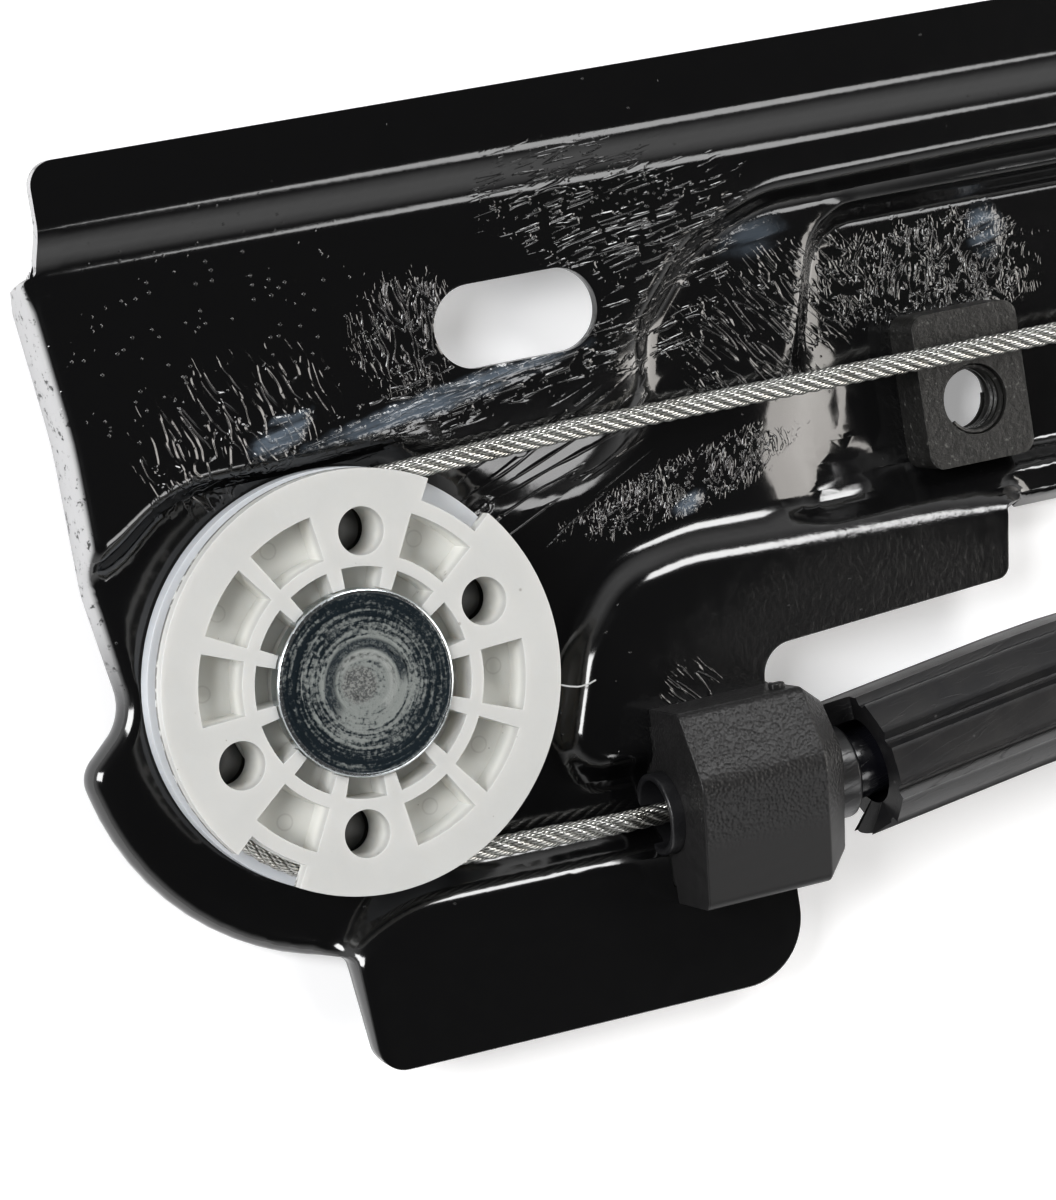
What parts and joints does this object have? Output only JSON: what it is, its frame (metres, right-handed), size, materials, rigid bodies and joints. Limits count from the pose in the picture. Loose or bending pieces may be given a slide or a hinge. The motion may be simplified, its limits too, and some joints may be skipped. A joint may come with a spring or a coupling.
{
  "type": "window regulator",
  "caption": "Single-rail cable window regulator: pressed guide rail with a cable pulley at each end, sliding glass carrier, and a cable drum on two flexible conduits.",
  "frame": {"origin": "midway between the rail's two fixing slots, on the front face of its web", "axes": "+X along the rail towards the open side of the carrier's glass clamp, +Y across the rail towards its flange, +Z out of the rail's front face, along the pulley axes. The rail lies on its back, and the drum housing lies beside it."},
  "size_m": [0.6142, 0.1656, 0.0252],
  "materials": {
    "e_coat": "gloss",
    "zinc_pin": "satin",
    "bright_steel": "satin",
    "nut_coat": "matte",
    "pulley_nylon": "satin",
    "cable_steel": "satin",
    "block_plastic": "matte",
    "cap_plastic": "satin",
    "conduit_skin": "gloss",
    "sleeve_rubber": "satin",
    "housing_plastic": "matte",
    "drum_plastic": "satin",
    "zinc_cast": "cast",
    "bush_steel": "satin",
    "screw_steel": "satin",
    "carrier_steel": "gloss",
    "slider_nylon": "satin",
    "pad_rubber": "matte",
    "bolt_zinc": "satin"
  },
  "bodies": {
    "rail": {"guide_rail": "e_coat", "left_pulley_pin": "zinc_pin", "right_pulley_pin": "zinc_pin", "left_washer": "bright_steel", "right_washer": "bright_steel", "left_weld_nut": "nut_coat", "right_weld_nut": "nut_coat", "left_conduit_block": "block_plastic", "right_conduit_block": "block_plastic", "left_conduit_cap": "cap_plastic", "right_conduit_cap": "cap_plastic", "left_conduit": "conduit_skin", "right_conduit": "conduit_skin", "left_fluted_sleeve": "sleeve_rubber", "right_fluted_sleeve": "sleeve_rubber", "left_cable": "cable_steel", "right_cable": "cable_steel", "drum_housing": "housing_plastic", "drum_cover": "housing_plastic", "motor_bushes": "bush_steel", "cover_screws": "screw_steel"},
    "left_wheel": {"left_pulley": "pulley_nylon"},
    "right_wheel": {"right_pulley": "pulley_nylon"},
    "drum": {"cable_drum": "drum_plastic", "drum_cable": "cable_steel", "drum_nipples": "zinc_cast"},
    "carrier": {"carrier_plate": "carrier_steel", "upper_slider": "slider_nylon", "lower_slider": "slider_nylon", "slider_rivets": "bright_steel", "cable_clip": "slider_nylon", "cable_nipples": "zinc_cast", "glass_clamp": "carrier_steel", "rear_pad": "pad_rubber", "front_pad": "pad_rubber", "clamp_bolt": "bolt_zinc", "clamp_nut": "bright_steel"}
  },
  "joints": [
    {"name": "carrier_slide", "type": "slide", "parent": "rail", "child": "carrier", "axis": [1, 0, 0], "range_m": [-0.16, 0.16]},
    {"name": "left_pulley_spin", "type": "hinge", "parent": "rail", "child": "left_wheel", "pos_m": [-0.28, -0.032, 0.00055], "axis": [0, 0, 1], "range_deg": [-465, 465]},
    {"name": "right_pulley_spin", "type": "hinge", "parent": "rail", "child": "right_wheel", "pos_m": [0.28, -0.032, 0.00055], "axis": [0, 0, 1], "range_deg": [-465, 465]},
    {"name": "drum_spin", "type": "hinge", "parent": "rail", "child": "drum", "pos_m": [0, -0.109, 0.00055], "axis": [0, 0, 1], "range_deg": [-465, 465]}
  ],
  "couplings": [
    {"joint": "left_pulley_spin", "follows": "carrier_slide", "rad_per_m": -50},
    {"joint": "right_pulley_spin", "follows": "carrier_slide", "rad_per_m": -50},
    {"joint": "drum_spin", "follows": "carrier_slide", "rad_per_m": 50}
  ]
}
